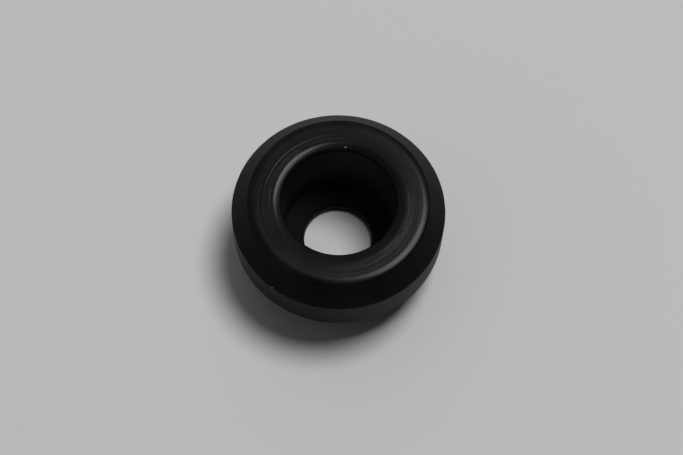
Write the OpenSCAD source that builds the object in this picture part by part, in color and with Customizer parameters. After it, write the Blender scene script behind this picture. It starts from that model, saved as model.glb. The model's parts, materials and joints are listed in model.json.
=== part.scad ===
// Moulded rubber grommet with a heavy chamfered flange, a panel groove and a
// tapered foot that is squeezed through the panel's hole. One solid of revolution
// about +Z, in millimetres, standing on its foot with the origin on the axis.

/* [Flange] */
// Outer diameter of the flange
flange_d = 25; // [21:0.5:30]
// Height of the straight wall round the flange
wall_h = 4.6; // [2.5:0.1:7]
// Width of the chamfer above the wall, along the radius
chamfer_w = 2; // [1:0.1:3]
// Height of the chamfer above the wall
chamfer_h = 2.35; // [1:0.05:4]
// Rounding of the crest, where the chamfer meets the shoulder
crest_r = 0.6; // [0.1:0.05:1]
// Width of the gently falling shoulder between the flat top and the crest, along the radius
shoulder_w = 0.55; // [0.2:0.05:1]
// Height of the shoulder
shoulder_h = 0.15; // [0.05:0.05:0.4]
// Rounding from the flat top onto the shoulder
shoulder_r = 2.3; // [0.5:0.1:4]
// Rounding of the wall's upper and lower edges
wall_edge_r = 0.25; // [0.1:0.05:0.6]

/* [Mouth and bore] */
// Width of the gently falling lip between the flat top and the recess, along the radius
lip_w = 0.8; // [0.3:0.05:1.5]
// Height of the lip
lip_h = 0.25; // [0.1:0.05:0.6]
// Rounding from the flat top onto the lip
lip_r = 1.9; // [0.5:0.1:4]
// Rounding of the mouth, where the lip turns down into the recess
mouth_r = 0.55; // [0.2:0.05:1]
// Diameter of the recess under the mouth
recess_d = 13.2; // [9.5:0.1:13.6]
// Height of the tapered seat that narrows the recess to the bore
seat_h = 1.6; // [0.8:0.1:4]
// Rounding at the top and bottom of the seat
seat_r = 0.6; // [0.2:0.1:1.5]
// Diameter of the bore
bore_d = 8.2; // [6:0.1:9.4]
// Length of the straight bore, up from the foot
bore_l = 1.2; // [0.9:0.1:4]
// Rounding of the bore's lower rim
bore_edge_r = 0.2; // [0.1:0.05:0.4]

/* [Panel groove] */
// Diameter of the neck at the bottom of the groove, to suit the panel's hole
neck_d = 16; // [15:0.1:19]
// Width of the groove, to suit the panel's thickness
groove_w = 2.2; // [1:0.1:4]
// Fillet in the groove's two inner corners
groove_r = 0.4; // [0.1:0.05:0.8]

/* [Foot] */
// How far the foot's rim stands out past the neck
foot_lip = 1.8; // [1:0.1:2.4]
// Height of the rim's straight edge
foot_rim_h = 0.8; // [0.4:0.1:2]
// Height of the lead-in taper under the rim
lead_h = 1.5; // [0.5:0.1:3]
// Width of the lead-in taper, along the radius
lead_w = 1.3; // [0.4:0.1:2.5]
// Rounding of the rim and of the taper's lower edge
foot_edge_r = 0.35; // [0.1:0.05:0.6]

/* [Hidden] */
$fn = 128;

// Arcs are cut this much over size, so that they cross their edges and don't just touch them
arc_snug = 1.0005;
// A corner's offcut reaches this much past the corner, so that no two outlines share an edge
offcut_reach = 1.2;

bore_rad = bore_d / 2;
recess_rad = recess_d / 2;
lip_rad = recess_rad + lip_w;
neck_rad = neck_d / 2;
foot_rad = neck_rad + foot_lip;
flange_rad = flange_d / 2;
crest_rad = flange_rad - chamfer_w;
shoulder_rad = crest_rad - shoulder_w;

seat_z = bore_l + seat_h;
foot_z = lead_h + foot_rim_h;
flange_z = foot_z + groove_w;
wall_z = flange_z + wall_h;
crest_z = wall_z + chamfer_h;
top_z = crest_z + shoulder_h;
mouth_z = top_z - lip_h;

// Corners of the half section, anticlockwise: distance from the axis, height, rounding
corners = [
    [bore_rad, 0, bore_edge_r],
    [foot_rad - lead_w, 0, foot_edge_r],
    [foot_rad, lead_h, foot_edge_r],
    [foot_rad, foot_z, foot_edge_r],
    [neck_rad, foot_z, groove_r],
    [neck_rad, flange_z, groove_r],
    [flange_rad, flange_z, wall_edge_r],
    [flange_rad, wall_z, wall_edge_r],
    [crest_rad, crest_z, crest_r],
    [shoulder_rad, top_z, shoulder_r],
    [lip_rad, top_z, lip_r],
    [recess_rad, mouth_z, mouth_r],
    [recess_rad, seat_z, seat_r],
    [bore_rad, bore_l, seat_r]
];
count = len(corners);

function before(i) = (i + count - 1) % count;
function after(i) = (i + 1) % count;
function spot(i) = [corners[i].x, corners[i].y];
function span(i, j) = norm(spot(j) - spot(i));
function toward(i, j) = (spot(j) - spot(i)) / span(i, j);
function half_angle(i) = acos(toward(i, before(i)) * toward(i, after(i))) / 2;
function hollow(i) = cross(toward(before(i), i), toward(i, after(i))) < 0;

// Length of edge that a corner's rounding asks for
function reach(i) = corners[i].z / tan(half_angle(i));
// Share of it that the edge can give where two roundings meet
function room(i, j) = min(1, span(i, j) / (reach(i) + reach(j)));
function round_r(i) = corners[i].z * min(room(i, before(i)), room(i, after(i)));

// Where a corner's arc leaves the edge towards corner j, and the arc's centre
function tangent(i, j) = spot(i) + toward(i, j) * round_r(i) / tan(half_angle(i));
function bisector(i) = toward(i, before(i)) + toward(i, after(i));
function centre(i) = spot(i) + bisector(i) / norm(bisector(i)) * round_r(i) / sin(half_angle(i));

// Outline with each hollow corner filled up to its arc's centre
outline = [for (i = [0 : count - 1]) each
    hollow(i) ? [tangent(i, before(i)), centre(i), tangent(i, after(i))] : [spot(i)]];

module arc_disc(i) {
    circle(round_r(i) * arc_snug);
}

// What rounding takes off a corner that stands out
module offcut(i) {
    difference() {
        scale(offcut_reach) polygon([
            [0, 0],
            tangent(i, before(i)) - centre(i),
            spot(i) - centre(i),
            tangent(i, after(i)) - centre(i)
        ]);
        arc_disc(i);
    }
}

// Half section with every corner rounded by a true arc
module half_section() {
    difference() {
        polygon(outline);
        for (i = [0 : count - 1]) translate(centre(i)) {
            if (hollow(i)) arc_disc(i);
            else offcut(i);
        }
    }
}

module grommet() {
    color("#1b1b1d") rotate_extrude() half_section();
}

grommet();
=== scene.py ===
import bmesh
import bpy
import json
import math
from mathutils import Matrix, Vector, noise


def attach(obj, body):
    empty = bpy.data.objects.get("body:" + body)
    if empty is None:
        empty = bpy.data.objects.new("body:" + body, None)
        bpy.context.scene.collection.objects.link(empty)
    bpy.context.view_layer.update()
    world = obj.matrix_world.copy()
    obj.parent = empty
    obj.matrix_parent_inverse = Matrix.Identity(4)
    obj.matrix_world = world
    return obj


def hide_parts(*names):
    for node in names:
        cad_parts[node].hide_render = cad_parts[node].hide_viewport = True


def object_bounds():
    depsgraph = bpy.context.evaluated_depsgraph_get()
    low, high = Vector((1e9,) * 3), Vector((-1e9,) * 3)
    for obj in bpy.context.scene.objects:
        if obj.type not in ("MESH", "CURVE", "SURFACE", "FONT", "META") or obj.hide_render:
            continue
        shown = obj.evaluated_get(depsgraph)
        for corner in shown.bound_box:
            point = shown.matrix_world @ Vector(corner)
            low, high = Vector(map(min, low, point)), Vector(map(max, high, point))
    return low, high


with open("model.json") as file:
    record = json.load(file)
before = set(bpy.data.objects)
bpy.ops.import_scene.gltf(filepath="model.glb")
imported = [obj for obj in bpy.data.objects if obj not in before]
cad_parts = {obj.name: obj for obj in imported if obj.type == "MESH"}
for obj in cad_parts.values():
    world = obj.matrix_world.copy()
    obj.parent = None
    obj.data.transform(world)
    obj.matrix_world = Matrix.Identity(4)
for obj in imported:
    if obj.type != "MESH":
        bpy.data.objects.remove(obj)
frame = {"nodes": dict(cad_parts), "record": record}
cadLow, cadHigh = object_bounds()
mm = 0.001
mounts = {mount["name"]: mount["dims"] for mount in frame["record"]["mounts"]}
print("frame loaded:", ", ".join(sorted(frame["nodes"])))

# Rubber grommet: sizes in millimetres, the first four as the frame has them
grommet = {
    "flangeRadius": cadHigh.x / mm,
    "topHeight": cadHigh.z / mm,
    "boreRadius": mounts["bore"]["r_mm"],
    "recessRadius": mounts["recess"]["r_mm"],
    "wallHeight": 4.6,
    "chamferWidth": 2.0,
    "chamferHeight": 2.35,
    "shoulderWidth": 0.55,  # gentle fall between the chamfer and the flat top
    "shoulderHeight": 0.15,
    "shoulderRounding": 2.3,
    "crestRounding": 0.6,
    "wallRounding": 0.25,
    "lipWidth": 0.8,  # the same on the way down into the recess
    "lipHeight": 0.25,
    "lipRounding": 1.9,
    "mouthRounding": 0.55,
    "dip": 0.03,  # how far the top has sunk at the mouth, as cooling rubber does
    "seatHeight": 1.6,
    "seatRounding": 0.6,
    "boreLength": 1.2,
    "boreRounding": 0.2,
    "neckRadius": 8.0,
    "grooveWidth": 2.2,
    "grooveFillet": 0.4,
    "footLip": 1.8,
    "footRim": 0.8,
    "leadWidth": 1.3,
    "footRounding": 0.35,
    "fineStep": 0.05,  # spacing of points where the top catches the light
    "plainStep": 0.16,
    "hiddenStep": 0.4,
    "arcSteps": 6,  # fewest steps round a small corner
    "spinSteps": 288,
    "weld": 0.0001,  # points nearer than this become one
}
crestRadius = grommet["flangeRadius"] - grommet["chamferWidth"]
crestHeight = grommet["topHeight"] - grommet["shoulderHeight"]
wallTop = crestHeight - grommet["chamferHeight"]
flangeBase = wallTop - grommet["wallHeight"]


def sectionCorners(sizes):
    footTop = flangeBase - sizes["grooveWidth"]
    footRadius = sizes["neckRadius"] + sizes["footLip"]
    seatTop = sizes["boreLength"] + sizes["seatHeight"]
    lipHeight = sizes["topHeight"] - sizes["dip"]
    fine, plain, hidden = sizes["fineStep"], sizes["plainStep"], sizes["hiddenStep"]
    # radius, height, rounding, spacing of points on the rounding and on the edge before it
    return [
        (sizes["boreRadius"], 0, sizes["boreRounding"], plain),
        (footRadius - sizes["leadWidth"], 0, sizes["footRounding"], hidden),
        (footRadius, footTop - sizes["footRim"], sizes["footRounding"], hidden),
        (footRadius, footTop, sizes["footRounding"], hidden),
        (sizes["neckRadius"], footTop, sizes["grooveFillet"], hidden),
        (sizes["neckRadius"], flangeBase, sizes["grooveFillet"], hidden),
        (sizes["flangeRadius"], flangeBase, sizes["wallRounding"], hidden),
        (sizes["flangeRadius"], wallTop, sizes["wallRounding"], plain),
        (crestRadius, crestHeight, sizes["crestRounding"], fine),
        (crestRadius - sizes["shoulderWidth"], sizes["topHeight"], sizes["shoulderRounding"], fine),
        (sizes["recessRadius"] + sizes["lipWidth"], lipHeight, sizes["lipRounding"], fine),
        (sizes["recessRadius"], lipHeight - sizes["lipHeight"], sizes["mouthRounding"], fine),
        (sizes["recessRadius"], seatTop, sizes["seatRounding"], plain),
        (sizes["boreRadius"], sizes["boreLength"], sizes["seatRounding"], plain),
    ]


# One point walks round the section: extruded along the edges, spun round the corners
def walkSection(bm, sizes):
    corners = sectionCorners(sizes)
    spots = [Vector((radius, 0, height)) for radius, height, _, _ in corners]
    walker = None
    for turn in range(len(corners) + 1):
        here = turn % len(corners)
        rounding, step = corners[here][2:]
        back = (spots[here - 1] - spots[here]).normalized()
        ahead = (spots[(here + 1) % len(corners)] - spots[here]).normalized()
        halfAngle = back.angle(ahead) / 2
        arcStart = spots[here] + back * rounding / math.tan(halfAngle)
        arcEnd = spots[here] + ahead * rounding / math.tan(halfAngle)
        if walker is None:
            walker = bm.verts.new(arcEnd)
            continue
        edgeRun = arcStart - walker.co
        edgeSteps = max(1, round(edgeRun.length / step))
        for _ in range(edgeSteps):
            walker = bmesh.ops.extrude_vert_indiv(bm, verts=[walker])["verts"][0]
            walker.co += edgeRun / edgeSteps
        arcAngle = math.pi - 2 * halfAngle
        spun = bmesh.ops.spin(
            bm,
            geom=[walker],
            cent=spots[here] + (back + ahead).normalized() * rounding / math.sin(halfAngle),
            axis=ahead.cross(back),
            angle=arcAngle,
            steps=max(sizes["arcSteps"], round(rounding * arcAngle / step)),
            use_duplicate=False,
        )
        walker = next(part for part in spun["geom_last"] if isinstance(part, bmesh.types.BMVert))


def closeMesh(bm, weld):
    bmesh.ops.remove_doubles(bm, verts=bm.verts[:], dist=weld)
    bmesh.ops.recalc_face_normals(bm, faces=bm.faces[:])


def meshObject(name, bm, material):
    mesh = bpy.data.meshes.new(name)
    bm.to_mesh(mesh)
    bm.free()
    mesh.materials.append(material)
    piece = bpy.data.objects.new(name, mesh)
    bpy.context.scene.collection.objects.link(piece)
    return piece


# What the mould and handling left on the rubber, in millimetres
surface = {
    "margin": 0.01,  # marks stop this far under the flange
    "flatInset": 1,  # a place on the flat top, this far in from the crest
    "rippleHeight": 0.0045,
    "ripplesPerMm": 2.4,
    "rippleTurns": 1.3,
    "sink": 0.016,  # keeps what is raised inside the part's own height
    "rimDepth": 0.05,  # how far the rim over the wall is pulled in at its nicks
    "rimBand": 0.3,  # how far up and down a nick fades
    "rimTurns": 16,
    "rimQuiet": 0.15,  # noise up to this leaves no nick
    "offCentre": -0.22,  # the mould's top was turned this far off its axis, along Y
    # turned ridges: radius, half width, height, direction and spread in degrees
    "ridges": [
        (8.37, 0.13, 0.0075, 150, 50),
        (8.87, 0.12, 0.0115, 158, 55),
        (9.31, 0.14, 0.0045, 170, 50),
        (8.40, 0.13, 0.0012, -20, 60),
        (8.90, 0.12, 0.0024, -45, 70),
        (9.36, 0.14, 0.0015, -20, 60),
    ],
}


def bell(distance, width):
    return math.exp(-((distance / width) ** 2))


# Ripples all over the flange, ridges on its top, nicks along its rim
def markSurface(bm, sizes):
    bm.normal_update()
    for vert in bm.verts:
        radius = math.hypot(vert.co.x, vert.co.y)
        if vert.co.z < flangeBase - surface["margin"]:
            continue
        around = Vector((vert.co.x / radius, vert.co.y / radius, 0))
        facing = math.degrees(math.atan2(vert.co.y, vert.co.x))
        fall = sizes["topHeight"] - vert.co.z
        turned = math.hypot(vert.co.x, vert.co.y - surface["offCentre"])
        along = turned + fall if radius > crestRadius - surface["flatInset"] else turned - fall
        probe = around * surface["rippleTurns"] + Vector((0, 0, along * surface["ripplesPerMm"]))
        lift = surface["rippleHeight"] * noise.noise(probe) - surface["sink"]
        for ridgeRadius, width, height, towards, spread in surface["ridges"]:
            apart = (facing - towards + 180) % 360 - 180
            lift += height * bell(along - ridgeRadius, width) * bell(apart, spread)
        vert.co += vert.normal * lift
        nick = noise.noise(around * surface["rimTurns"]) - surface["rimQuiet"]
        pull = surface["rimDepth"] * max(0, nick) * bell(vert.co.z - wallTop, surface["rimBand"])
        vert.co -= around * pull


def makeGrommet(material):
    bm = bmesh.new()
    walkSection(bm, grommet)
    closeMesh(bm, grommet["weld"])
    bmesh.ops.spin(
        bm,
        geom=bm.verts[:] + bm.edges[:],
        cent=(0, 0, 0),
        axis=(0, 0, 1),
        angle=math.tau,
        steps=grommet["spinSteps"],
        use_merge=True,
        use_duplicate=False,
    )
    closeMesh(bm, grommet["weld"])
    markSurface(bm, grommet)
    bmesh.ops.scale(bm, vec=(mm, mm, mm), verts=bm.verts[:])
    for face in bm.faces:
        face.smooth = True
    print("grommet:", len(bm.faces) * 2, "triangles")
    return meshObject("rubberGrommet", bm, material)


nodeGap = (190, -170)  # from column to column and row to row in the node editor


def placeNode(node, column, row):
    node.location = (column * nodeGap[0], row * nodeGap[1])


def addNode(tree, kind, column, row, **settings):
    made = tree.nodes.new(kind)
    placeNode(made, column, row)
    for name, value in settings.items():
        setattr(made, name, value)
    return made


def addMath(tree, operation, column, row, first, second):
    made = addNode(tree, "ShaderNodeMath", column, row, operation=operation)
    for socket, value in zip(made.inputs, (first, second)):
        if isinstance(value, (int, float)):
            socket.default_value = value
        else:
            tree.links.new(value, socket)
    return made.outputs[0]


# Both ends of what a Map Range node takes in or gives out
def setRange(node, side, ends):
    for end, value in zip(("Min", "Max"), ends):
        node.inputs[side + " " + end].default_value = value


# Marks that run round the axis, as a turned mould leaves them
def turnedMarksGroup():
    tree = bpy.data.node_groups.new("turnedMarks", "ShaderNodeTree")
    for name in ("Lines", "Turns", "Detail"):
        tree.interface.new_socket(name, in_out="INPUT", socket_type="NodeSocketFloat")
    tree.interface.new_socket("Height", in_out="OUTPUT", socket_type="NodeSocketFloat")
    given = addNode(tree, "NodeGroupInput", 0, 0)
    coords = addNode(tree, "ShaderNodeTexCoord", 0, 1)
    parts = addNode(tree, "ShaderNodeSeparateXYZ", 1, 1)
    flat = addNode(tree, "ShaderNodeCombineXYZ", 2, 1)
    radius = addNode(tree, "ShaderNodeVectorMath", 3, 0, operation="LENGTH")
    around = addNode(tree, "ShaderNodeVectorMath", 3, 1, operation="NORMALIZE")
    spread = addNode(tree, "ShaderNodeVectorMath", 4, 1, operation="SCALE")
    rings = addNode(tree, "ShaderNodeCombineXYZ", 5, 0)
    place = addNode(tree, "ShaderNodeVectorMath", 6, 0, operation="ADD")
    grain = addNode(tree, "ShaderNodeTexNoise", 7, 0, noise_dimensions="4D")
    result = addNode(tree, "NodeGroupOutput", 8, 0)
    link = tree.links.new
    link(coords.outputs["Object"], parts.inputs[0])
    link(parts.outputs["X"], flat.inputs["X"])
    link(parts.outputs["Y"], flat.inputs["Y"])
    link(flat.outputs[0], radius.inputs[0])
    link(flat.outputs[0], around.inputs[0])
    link(around.outputs[0], spread.inputs[0])
    link(given.outputs["Turns"], spread.inputs["Scale"])
    outward = addMath(tree, "MULTIPLY", 4, 0, radius.outputs["Value"], given.outputs["Lines"])
    upward = addMath(tree, "MULTIPLY", 4, 2, parts.outputs["Z"], given.outputs["Lines"])
    link(outward, rings.inputs["Z"])
    link(rings.outputs[0], place.inputs[0])
    link(spread.outputs[0], place.inputs[1])
    link(place.outputs[0], grain.inputs["Vector"])
    link(upward, grain.inputs["W"])
    link(given.outputs["Detail"], grain.inputs["Detail"])
    grain.inputs["Scale"].default_value = 1
    link(grain.outputs["Fac"], result.inputs["Height"])
    return tree


# Black rubber: lengths in metres, counts to the metre
rubber = {
    "black": (0.0025, 0.0028, 0.0027, 1),
    "bloom": (0.0042, 0.0046, 0.0044, 1),  # faint grey that old rubber carries in patches
    "lint": (0.16, 0.16, 0.15, 1),
    "specularLevel": 0.082,
    "topRoughness": (0.14, 0.24),  # most polished at the mouth
    "topRadii": (0.0074, 0.0100),
    "patchRoughness": 0.02,
    "sideRoughness": 0.46,  # below the polished top
    "polishHeights": (0.0112, 0.0118),  # the polish begins at the first and would be full at the second
    "insideRoughness": 0.5,  # within the mouth, where nothing rubs
    "insideRadii": (0.0066, 0.0076),
    "patchesPerMetre": 260,
    "patchDetail": 5,
    "patchRange": (0.35, 0.65),  # noise at which a patch begins and is full
    "markTurns": 1.5,  # how much the marks change round a ring
    "markDetail": 1,
    "fineLines": 18000,
    "fineLineDepth": 0.000008,
    "plainShare": 0.06,  # share of that depth outside the band of marks round the mouth
    "bandInside": (0.0076, 0.0080),  # radii at which the band begins and is full
    "bandOutside": (0.0089, 0.0086),  # the same from the other side
    "coarseLines": 4200,
    "coarseLineDepth": 0.000001,
    "grainPerMetre": 9000,
    "grainDepth": 0.0000003,
    "specks": [(0.0006, 0.00698, 0.01141), (-0.00728, -0.0101, 0.00912)],
    "speckRadius": 0.0001,
}


def blackRubber():
    material = bpy.data.materials.new("blackRubber")
    material.use_nodes = True
    tree = material.node_tree
    link = tree.links.new
    shader = tree.nodes["Principled BSDF"]
    placeNode(shader, 9, 0)
    placeNode(tree.nodes["Material Output"], 11, 0)
    shader.inputs["Specular IOR Level"].default_value = rubber["specularLevel"]
    coords = addNode(tree, "ShaderNodeTexCoord", 0, 2)

    # patches of bloom dull the polish
    patches = addNode(tree, "ShaderNodeTexNoise", 1, 1)
    patches.inputs["Scale"].default_value = rubber["patchesPerMetre"]
    patches.inputs["Detail"].default_value = rubber["patchDetail"]
    link(coords.outputs["Object"], patches.inputs["Vector"])
    dullness = addNode(tree, "ShaderNodeMapRange", 2, 1)
    setRange(dullness, "From", rubber["patchRange"])
    link(patches.outputs["Fac"], dullness.inputs["Value"])

    # only the top is polished, and most at the mouth
    parts = addNode(tree, "ShaderNodeSeparateXYZ", 1, 3)
    flat = addNode(tree, "ShaderNodeVectorMath", 1, 4, operation="MULTIPLY")
    flat.inputs[1].default_value = (1, 1, 0)
    radius = addNode(tree, "ShaderNodeVectorMath", 2, 4, operation="LENGTH")
    link(coords.outputs["Object"], parts.inputs[0])
    link(coords.outputs["Object"], flat.inputs[0])
    link(flat.outputs[0], radius.inputs[0])
    rubbed = addNode(tree, "ShaderNodeMapRange", 3, 2)
    setRange(rubbed, "From", rubber["topRadii"])
    setRange(rubbed, "To", rubber["topRoughness"])
    link(radius.outputs["Value"], rubbed.inputs["Value"])
    patchy = addMath(tree, "MULTIPLY", 3, 1, dullness.outputs["Result"], rubber["patchRoughness"])
    roughest = addMath(tree, "ADD", 4, 2, rubbed.outputs["Result"], patchy)
    unpolished = (
        (parts.outputs["Z"], "polishHeights", "sideRoughness"),
        (radius.outputs["Value"], "insideRadii", "insideRoughness"),
    )
    for row, (measure, limits, value) in enumerate(unpolished):
        fade = addNode(tree, "ShaderNodeMapRange", 3, 3 + row, interpolation_type="SMOOTHSTEP")
        setRange(fade, "From", rubber[limits])
        setRange(fade, "To", (rubber[value], 0))
        link(measure, fade.inputs["Value"])
        roughest = addMath(tree, "MAXIMUM", 5 + row, 2, roughest, fade.outputs["Result"])
    link(roughest, shader.inputs["Roughness"])
    colour = addNode(tree, "ShaderNodeMix", 4, 0, data_type="RGBA")
    colour.inputs["A"].default_value = rubber["black"]
    colour.inputs["B"].default_value = rubber["bloom"]
    link(dullness.outputs["Result"], colour.inputs["Factor"])

    # bits of lint
    lint = 0
    for row, spot in enumerate(rubber["specks"]):
        gap = addNode(tree, "ShaderNodeVectorMath", 2, 8 + row, operation="DISTANCE")
        gap.inputs[1].default_value = spot
        link(coords.outputs["Object"], gap.inputs[0])
        near = addMath(tree, "LESS_THAN", 3, 8 + row, gap.outputs["Value"], rubber["speckRadius"])
        lint = addMath(tree, "MAXIMUM", 4, 8 + row, near, lint)
    withLint = addNode(tree, "ShaderNodeMix", 6, 0, data_type="RGBA")
    withLint.inputs["B"].default_value = rubber["lint"]
    link(lint, withLint.inputs["Factor"])
    link(colour.outputs["Result"], withLint.inputs["A"])
    link(withLint.outputs["Result"], shader.inputs["Base Color"])

    # turning marks of two sizes, the fine ones deepest in a band round the mouth, then a fine grain
    marks = turnedMarksGroup()
    fine = addNode(tree, "ShaderNodeGroup", 5, 3, node_tree=marks)
    coarse = addNode(tree, "ShaderNodeGroup", 5, 4, node_tree=marks)
    grain = addNode(tree, "ShaderNodeTexNoise", 5, 5)
    grain.inputs["Scale"].default_value = rubber["grainPerMetre"]
    link(coords.outputs["Object"], grain.inputs["Vector"])
    for marked, lines in ((fine, "fineLines"), (coarse, "coarseLines")):
        marked.inputs["Lines"].default_value = rubber[lines]
        marked.inputs["Turns"].default_value = rubber["markTurns"]
        marked.inputs["Detail"].default_value = rubber["markDetail"]
    band = 1
    for row, limits in enumerate(("bandInside", "bandOutside")):
        fade = addNode(tree, "ShaderNodeMapRange", 4, 6 + row, interpolation_type="SMOOTHSTEP")
        setRange(fade, "From", rubber[limits])
        setRange(fade, "To", (rubber["plainShare"], 1))
        link(radius.outputs["Value"], fade.inputs["Value"])
        band = addMath(tree, "MINIMUM", 5, 6 + row, fade.outputs["Result"], band)
    normal = None
    layers = (
        (addMath(tree, "MULTIPLY", 6, 4, fine.outputs["Height"], band), "fineLineDepth"),
        (coarse.outputs["Height"], "coarseLineDepth"),
        (grain.outputs["Fac"], "grainDepth"),
    )
    for column, (height, depth) in enumerate(layers):
        bump = addNode(tree, "ShaderNodeBump", 6 + column, 3)
        bump.inputs["Distance"].default_value = rubber[depth]
        link(height, bump.inputs["Height"])
        if normal:
            link(normal, bump.inputs["Normal"])
        normal = bump.outputs["Normal"]
    link(normal, shader.inputs["Normal"])
    return material


grommetPiece = makeGrommet(blackRubber())
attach(grommetPiece, "root")
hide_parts("grommet")

# Pale table under the part
table = {
    "halfWidth": 0.5,
    "colour": (0.5, 0.494, 0.486, 1),
    "roughness": 0.9,
    "specularLevel": 0,
}


def makeTable():
    material = bpy.data.materials.new("paleTable")
    material.use_nodes = True
    shader = material.node_tree.nodes["Principled BSDF"]
    shader.inputs["Base Color"].default_value = table["colour"]
    shader.inputs["Roughness"].default_value = table["roughness"]
    shader.inputs["Specular IOR Level"].default_value = table["specularLevel"]
    bm = bmesh.new()
    bmesh.ops.create_grid(bm, x_segments=1, y_segments=1, size=table["halfWidth"])
    return meshObject("paleTable", bm, material)


makeTable()
print("table laid")

# One soft lamp high on the right at the back, and a dim room with a glow behind the part and at its left
lamp = {
    "azimuth": 43,
    "elevation": 68.3,
    "distance": 2.5,
    "width": 24.5,  # degrees, as the part sees it
    "tableLight": 0.85,  # how bright it makes a white table
}
room = {
    "colour": (0.99, 0.99, 1, 1),
    "dim": 0.04,
    # soft glows: towards, strength, facing at which each begins and is full
    "glows": [
        ((-0.15, 0.7, 0.7), 0.55, 0.75, 0.98),
        ((-0.8, -0.25, 0.55), 0.28, 0.7, 0.98),
    ],
}


def makeLamp():
    azimuth, elevation = math.radians(lamp["azimuth"]), math.radians(lamp["elevation"])
    away = Vector((
        math.cos(azimuth) * math.cos(elevation),
        math.sin(azimuth) * math.cos(elevation),
        math.sin(elevation),
    ))
    data = bpy.data.lights.new("softLamp", "AREA")
    data.shape = "DISK"
    data.size = 2 * lamp["distance"] * math.tan(math.radians(lamp["width"] / 2))
    # power that gives this brightness from a flat lamp at this distance and slant
    data.energy = lamp["tableLight"] * (math.pi * lamp["distance"]) ** 2 / away.z
    softLamp = bpy.data.objects.new("softLamp", data)
    softLamp.location = away * lamp["distance"]
    softLamp.rotation_euler = away.to_track_quat("Z", "Y").to_euler()
    bpy.context.scene.collection.objects.link(softLamp)


def makeRoom():
    world = bpy.data.worlds.new("room")
    world.use_nodes = True
    bpy.context.scene.world = world
    tree = world.node_tree
    coords = addNode(tree, "ShaderNodeTexCoord", -4, 0)
    light = room["dim"]
    for row, (towards, strength, begins, full) in enumerate(room["glows"]):
        facing = addNode(tree, "ShaderNodeVectorMath", -3, row, operation="DOT_PRODUCT")
        facing.inputs[1].default_value = Vector(towards).normalized()
        glow = addNode(tree, "ShaderNodeMapRange", -2, row, interpolation_type="SMOOTHSTEP")
        setRange(glow, "From", (begins, full))
        setRange(glow, "To", (0, strength))
        tree.links.new(coords.outputs["Generated"], facing.inputs[0])
        tree.links.new(facing.outputs["Value"], glow.inputs["Value"])
        light = addMath(tree, "ADD", -1, row, glow.outputs["Result"], light)
    background = tree.nodes["Background"]
    background.inputs["Color"].default_value = room["colour"]
    tree.links.new(light, background.inputs["Strength"])


makeLamp()
makeRoom()
bpy.context.scene.view_settings.view_transform = "Standard"
print("lamp and room lit")

# Camera as in the photograph, which is 683 by 455
view = {
    "place": (0.00041, -0.0742, 0.1687),
    "tilt": 24.25,
    "roll": 1.75,
    "lens": 79.5,
    "sensor": 36,
    "nearest": 0.005,
}


def makeCamera():
    data = bpy.data.cameras.new("camera")
    data.lens = view["lens"]
    data.sensor_width = view["sensor"]
    data.clip_start = view["nearest"]
    camera = bpy.data.objects.new("camera", data)
    tilt = Matrix.Rotation(math.radians(view["tilt"]), 4, "X")
    roll = Matrix.Rotation(math.radians(view["roll"]), 4, "Z")
    camera.matrix_world = Matrix.Translation(view["place"]) @ tilt @ roll
    bpy.context.scene.collection.objects.link(camera)
    bpy.context.scene.camera = camera


makeCamera()
print("camera set")
